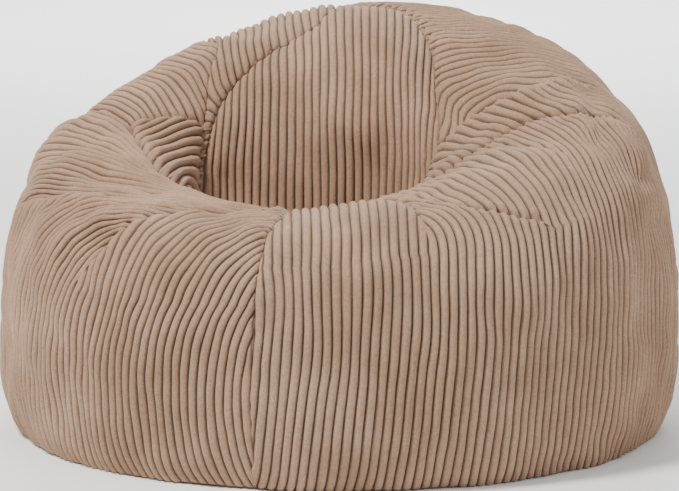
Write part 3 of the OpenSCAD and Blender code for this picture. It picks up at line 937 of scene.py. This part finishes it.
def cloth_material(name, colour, thread, roughness, sheen):
    """Plain weave: crossed threads of the given width in metres."""
    m = Nodes(name, Roughness=roughness, Sheen_Weight=sheen, Sheen_Roughness=0.5, Specular_IOR_Level=0.25)
    place = m.add("ShaderNodeTexCoord").outputs["Object"]
    split = m.add("ShaderNodeSeparateXYZ", {0: place})
    warp = m.math("SINE", m.math("MULTIPLY", split.outputs[0], math.pi / thread))
    weft = m.math("SINE", m.math("MULTIPLY", split.outputs[1], math.pi / thread))
    weave = m.math("MULTIPLY", m.math("ADD", m.math("ABSOLUTE", warp), m.math("ABSOLUTE", weft)), 0.5)
    patches = m.noise(place, 14.0, 3.0)
    factor = m.product(m.spread(weave, 0.0, 1.0, 0.82, 1.08), m.spread(patches, 0.3, 0.7, 0.94, 1.06))
    base = m.add("ShaderNodeRGB")
    base.outputs[0].default_value = (*colour, 1.0)
    return m.paint(m.tinted(base.outputs[0], factor), weave, thread * 0.6, 0.5)


base_outline = outline_at(0, -0.002)
CREASES = Wobble(0.12, 41)


def base_shape(side):
    def shape(u, v):
        x, low_y, high_y = across_outline(base_outline, u)
        inner = side * SLOT_HALF * smooth((SLOT_END + SLOT_PLAY - np.abs(x)) / SLOT_CLOSE) + side * 0.0004
        outer = high_y if side > 0 else low_y
        y = inner + (outer - inner) * v
        hem = np.abs(y - inner)
        edge = np.abs(y - outer)
        dash = 0.5 + 0.5 * np.sin(x * 2 * math.pi / STITCH_LENGTH)
        stitch = 0.0004 * (np.abs(hem - STITCH_LINE) < STITCH_WIDTH) * dash
        z = 0.0004 + 0.0007 * (0.5 + 0.5 * np.tanh(CREASES(np.stack([x, y, 0 * x], -1))))
        z = z + 0.0006 * (hem > HEM_WIDTH) + stitch
        return np.stack([x, y, z * smooth(edge / 0.004 + 0.3)], -1)

    return shape


canvas = cloth_material("base_canvas", (0.235, 0.165, 0.122), 0.0011, 0.85, 0.1)
for name, side in (("base_front", -1), ("base_rear", 1)):
    half = add_piece(name + "_cover", grid(260, 90, base_shape(side)), canvas, "root", "base_cloth",
                     name + "_panel")
    if side > 0:
        half.data.flip_normals()
    thicken(half, 0.0022)

LABEL_LOW, LABEL_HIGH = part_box("care_label")


def label_shape(u, v):
    x = LABEL_LOW.x + (LABEL_HIGH.x - LABEL_LOW.x) * u
    y = LABEL_LOW.y + (LABEL_HIGH.y - LABEL_LOW.y) * v
    curl = 0.0016 * smooth((v - 0.55) / 0.45) ** 2 * (0.7 + 0.3 * np.sin(5 * u))
    return np.stack([x, y, LABEL_LOW.z + 0.0001 + curl + 0.0003 * np.sin(9 * u) * v], -1)


satin = cloth_material("label_satin", (0.86, 0.85, 0.83), 0.0004, 0.45, 0.2)
label = add_piece("care_label_satin", grid(40, 20, label_shape), satin, "root", "label_satin", "care_label")
thicken(label, 0.0003, 1.0)

# ---------------------------------------------------------------------------------------------
# Zips
# Nylon coil zips: a coil sewn to the edge of a woven tape on each side, a metal slider that rides on both
# and a metal stop at each end. The cover's zip lies across its base, the liner's smaller one behind it.
# ---------------------------------------------------------------------------------------------
def coil_mesh(node, pitch, wire, shift):
    """Nylon wire wound round an oval, in the CAD piece's box, shifted by a share of its pitch."""
    low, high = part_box(node)
    turns = int((high.x - low.x - 2 * wire) / pitch)
    sides, per_turn = 5, 10
    middle_y, middle_z = (low.y + high.y) / 2, (low.z + high.z) / 2
    wide, tall = (high.y - low.y) / 2 - wire, (high.z - low.z) / 2 - wire

    def shape(u, v):
        turn = u * turns * 2 * math.pi
        x = low.x + wire + pitch * shift + u * (turns - 1) * pitch
        out = np.stack([0 * x, np.cos(turn), np.sin(turn)], -1)
        centre = np.stack([x, middle_y + wide * out[:, 1], middle_z + tall * out[:, 2]], -1)
        round_wire = v * 2 * math.pi
        along = np.sin(round_wire)[:, None] * np.array([1.0, 0, 0])
        return centre + wire * (np.cos(round_wire)[:, None] * out + along)

    return grid(turns * per_turn, sides, shape)


def tape_mesh(node):
    low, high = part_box(node)

    def shape(u, v):
        x = low.x + (high.x - low.x) * u
        y = low.y + (high.y - low.y) * v
        cord_edge = np.minimum(v, 1 - v) * (high.y - low.y)
        rib = 0.00004 * np.sin(v * 60) + 0.00006 * (cord_edge < 0.0012)
        ripple = 0.00008 * np.tanh(CREASES(np.stack([x, y, 0 * x], -1)))
        return np.stack([x, y, (low.z + high.z) / 2 - 0.0002 + rib + ripple], -1)

    return grid(240, 16, shape)


def block(low, high, bevel):
    work = bmesh.new()
    bmesh.ops.create_cube(work, size=1.0)
    size, middle = Vector(high) - Vector(low), (Vector(high) + Vector(low)) / 2
    for vertex in work.verts:
        vertex.co = Vector(c * s for c, s in zip(vertex.co, size)) + middle
    bmesh.ops.bevel(work, geom=work.edges[:], offset=bevel, segments=3, affect="EDGES", profile=0.5)
    return work


def joined(name, parts):
    whole = bmesh.new()
    for part in parts:
        mesh = bpy.data.meshes.new("part")
        part.to_mesh(mesh)
        part.free()
        whole.from_mesh(mesh)
        bpy.data.meshes.remove(mesh)
    mesh = bpy.data.meshes.new(name)
    whole.to_mesh(mesh)
    whole.free()
    return mesh


def slider_mesh(name, node):
    low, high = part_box(node)
    y = (low.y + high.y) / 2
    width, length, tall = high.y - low.y, high.x - low.x, high.z - low.z
    plate = tall * 0.17
    parts = [
        block((low.x, low.y, high.z - plate), (high.x, high.y, high.z), plate * 0.35),
        block((low.x, low.y, low.z), (high.x, high.y, low.z + plate), plate * 0.35),
        block((high.x - length * 0.22, y - width * 0.07, low.z + plate * 0.5),
              (high.x, y + width * 0.07, high.z - plate * 0.5), plate * 0.3)]
    return joined(name, parts)


def metal_material():
    m = Nodes("zip_metal", Metallic=0.95, Roughness=0.32)
    place = m.add("ShaderNodeTexCoord").outputs["Object"]
    worn = m.noise(place, 900.0, 3.0)
    base = m.add("ShaderNodeRGB")
    base.outputs[0].default_value = (0.34, 0.29, 0.25, 1.0)
    return m.paint(m.tinted(base.outputs[0], m.spread(worn, 0.3, 0.7, 0.85, 1.1)), worn, 0.0001, 0.2)


def plastic_material(name, colour):
    m = Nodes(name, Roughness=0.4, Specular_IOR_Level=0.5)
    place = m.add("ShaderNodeTexCoord").outputs["Object"]
    base = m.add("ShaderNodeRGB")
    base.outputs[0].default_value = (*colour, 1.0)
    return m.paint(m.tinted(base.outputs[0], m.spread(m.noise(place, 500.0), 0.3, 0.7, 0.93, 1.07)))


def stop_mesh(name, *spots):
    """Metal stops: a bevelled block for each (low, high) box."""
    blocks = [block(low, high, min(high[i] - low[i] for i in range(3)) * 0.3) for low, high in spots]
    return joined(name, blocks)


metal = metal_material()
for node in ("zip_top_stop", "zip_bottom_stop"):
    stop = stop_mesh(node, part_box(node))
    add_piece(node.replace("zip_", "cover_"), stop, metal, "root", "zip_metal", node)
low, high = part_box("liner_zip_stops")
stop_length = 0.004
stops = stop_mesh("liner_stops", (low, (low.x + stop_length, high.y, high.z)),
                  ((high.x - stop_length, low.y, low.z), high))
add_piece("liner_stops", stops, metal, "root", "zip_metal", "liner_zip_stops")
for prefix, body, cloth_name, cloth_colour, coil_colour, pitch, wire, slots in (
        ("", "zip_slider_body", "zip_tape", (0.205, 0.140, 0.102), (0.155, 0.103, 0.076), 0.0026,
         0.00042, ("zip_tape", "zip_coil")),
        ("liner_", "liner_slider_body", "liner_tape", (0.84, 0.83, 0.80), (0.80, 0.79, 0.76), 0.0022,
         0.00028, ("liner_tape", "liner_coil"))):
    tape_cloth = cloth_material(cloth_name, cloth_colour, 0.0006, 0.8, 0.1)
    nylon = plastic_material(cloth_name + "_nylon", coil_colour)
    for side, shift in (("front", 0.0), ("rear", 0.5)):
        tape_node, coil_node = prefix + "zip_tape_" + side, prefix + "zip_coil_" + side
        tape = add_piece(prefix + "tape_" + side, tape_mesh(tape_node), tape_cloth, "root", slots[0],
                         tape_node)
        thicken(tape, 0.0004, 1.0)
        low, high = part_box(tape_node)
        add_piece(prefix + "coil_" + side, coil_mesh(coil_node, pitch, wire, shift), nylon, "root", slots[1],
                  coil_node)
    slider = slider_mesh(prefix + "slider", prefix + "zip_slider")
    add_piece(prefix + "slider", slider, metal, body, "zip_metal", prefix + "zip_slider")

# ---------------------------------------------------------------------------------------------
# Liner bag and its base
# A thin white bag of non-woven cloth, sewn a little smaller than the cover, that holds the beads.
# ---------------------------------------------------------------------------------------------
LINER_DEPTH = 0.0155
SLACK = Wobble(0.10, 51, 20)
CREASED = Wobble(0.035, 53, 20)


def inside_shape(depth, first, slack, creased):
    """Closed skin of the body at a depth, from the level first up to the seat, closed over in the middle."""
    def shape(u, v):
        a = u * 2 * math.pi
        t = first + (4 - first) * np.minimum(v / 0.94, 1.0)
        t = np.clip(t, 0.02, 3.999)
        place = skin(a, t)
        out = outward(a, t)
        flat_top = smooth((t - 3.7) / 0.3)[:, None]
        out = out * (1 - flat_top) + np.array([0, 0, 1.0]) * flat_top
        sink = depth + slack * (0.5 + 0.35 * SLACK(place)) + creased * CREASED(place)
        place = place - out * sink[:, None]
        inward = np.clip((v - 0.94) / 0.06, 0, 1)[:, None]
        centre = np.array([HOLLOW_SHIFT, 0.0, SEAT_HEIGHT - depth - slack * 0.5])
        return place * (1 - inward) + centre * inward

    return shape


def closed_round(mesh):
    """Merge the points where a shape closes round and at its middle."""
    merge_near(mesh, 1e-4, 1e-5)


liner_cloth = cloth_material("liner_cloth", (0.83, 0.82, 0.79), 0.0008, 0.8, 0.1)
liner_mesh = grid(300, 150, inside_shape(LINER_DEPTH, 0.0, 0.0015, 0.0003))
closed_round(liner_mesh)
liner = add_piece("liner_cloth_bag", liner_mesh, liner_cloth, "root", "liner_cloth", "liner_bag")
thicken(liner, 0.0004)

LINER_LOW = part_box("liner_base")[0]
# Its cut size, of which the round covers 0.785
liner_outline = outline_at(0, 0.004)


def liner_base_shape(u, v):
    x, low_y, high_y = across_outline(liner_outline, u)
    y = low_y + (high_y - low_y) * v
    return np.stack([x, y, LINER_LOW.z + 0.0004 + 0.0002 * np.tanh(SLACK(np.stack([x, y, 0 * x], -1)))], -1)


liner_base = add_piece("liner_cloth_base", grid(160, 120, liner_base_shape), liner_cloth, "root",
                       "liner_cloth", "liner_base")
thicken(liner_base, 0.0004)

# ---------------------------------------------------------------------------------------------
# Bead filling
# Loose expanded foam beads of 3 to 5 mm, settled into one body that fills the liner.
# ---------------------------------------------------------------------------------------------
def bead_material():
    m = Nodes("foam_beads", Roughness=0.65, Subsurface_Weight=0.15, Specular_IOR_Level=0.35)
    m.shader.inputs["Subsurface Radius"].default_value = (0.004, 0.004, 0.004)
    place = m.add("ShaderNodeTexCoord").outputs["Object"]
    beads = m.add("ShaderNodeTexVoronoi", {"Vector": place, "Scale": 240.0, "Randomness": 0.9})
    gap = beads.outputs["Distance"]
    base = m.add("ShaderNodeRGB")
    base.outputs[0].default_value = (0.92, 0.92, 0.91, 1.0)
    dome = m.spread(gap, 0.0, 0.7, 1.0, 0.0)
    # The colour darkens away from each bead's middle: painted shade between the beads
    return m.paint(m.tinted(base.outputs[0], m.spread(gap, 0.25, 0.75, 1.0, 0.62)), dome, 0.003, 1.0)


BEAD_DEPTH = 0.0185
PACKED = Wobble(0.009, 61, 24)


def fill_shape(u, v):
    """Body of beads from the middle of its base, out and up round the body to the middle of the hollow."""
    base_share = 0.08
    up = inside_shape(BEAD_DEPTH, 0.0, 0.0, 0.0)(u, np.clip((v - base_share) / (1 - base_share), 0, 1))
    outward_share = np.clip(v / base_share, 0, 1)[:, None]
    floor_centre = np.array([0.0, 0.0, BEAD_DEPTH])
    place = np.where(v[:, None] < base_share, floor_centre + (up - floor_centre) * outward_share, up)
    return place * (1 - 0.0022 * PACKED(place)[:, None])


fill_mesh = grid(340, 190, fill_shape)
closed_round(fill_mesh)
add_piece("foam_beads_body", fill_mesh, bead_material(), "root", "foam_beads", "bead_filling")

low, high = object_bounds()
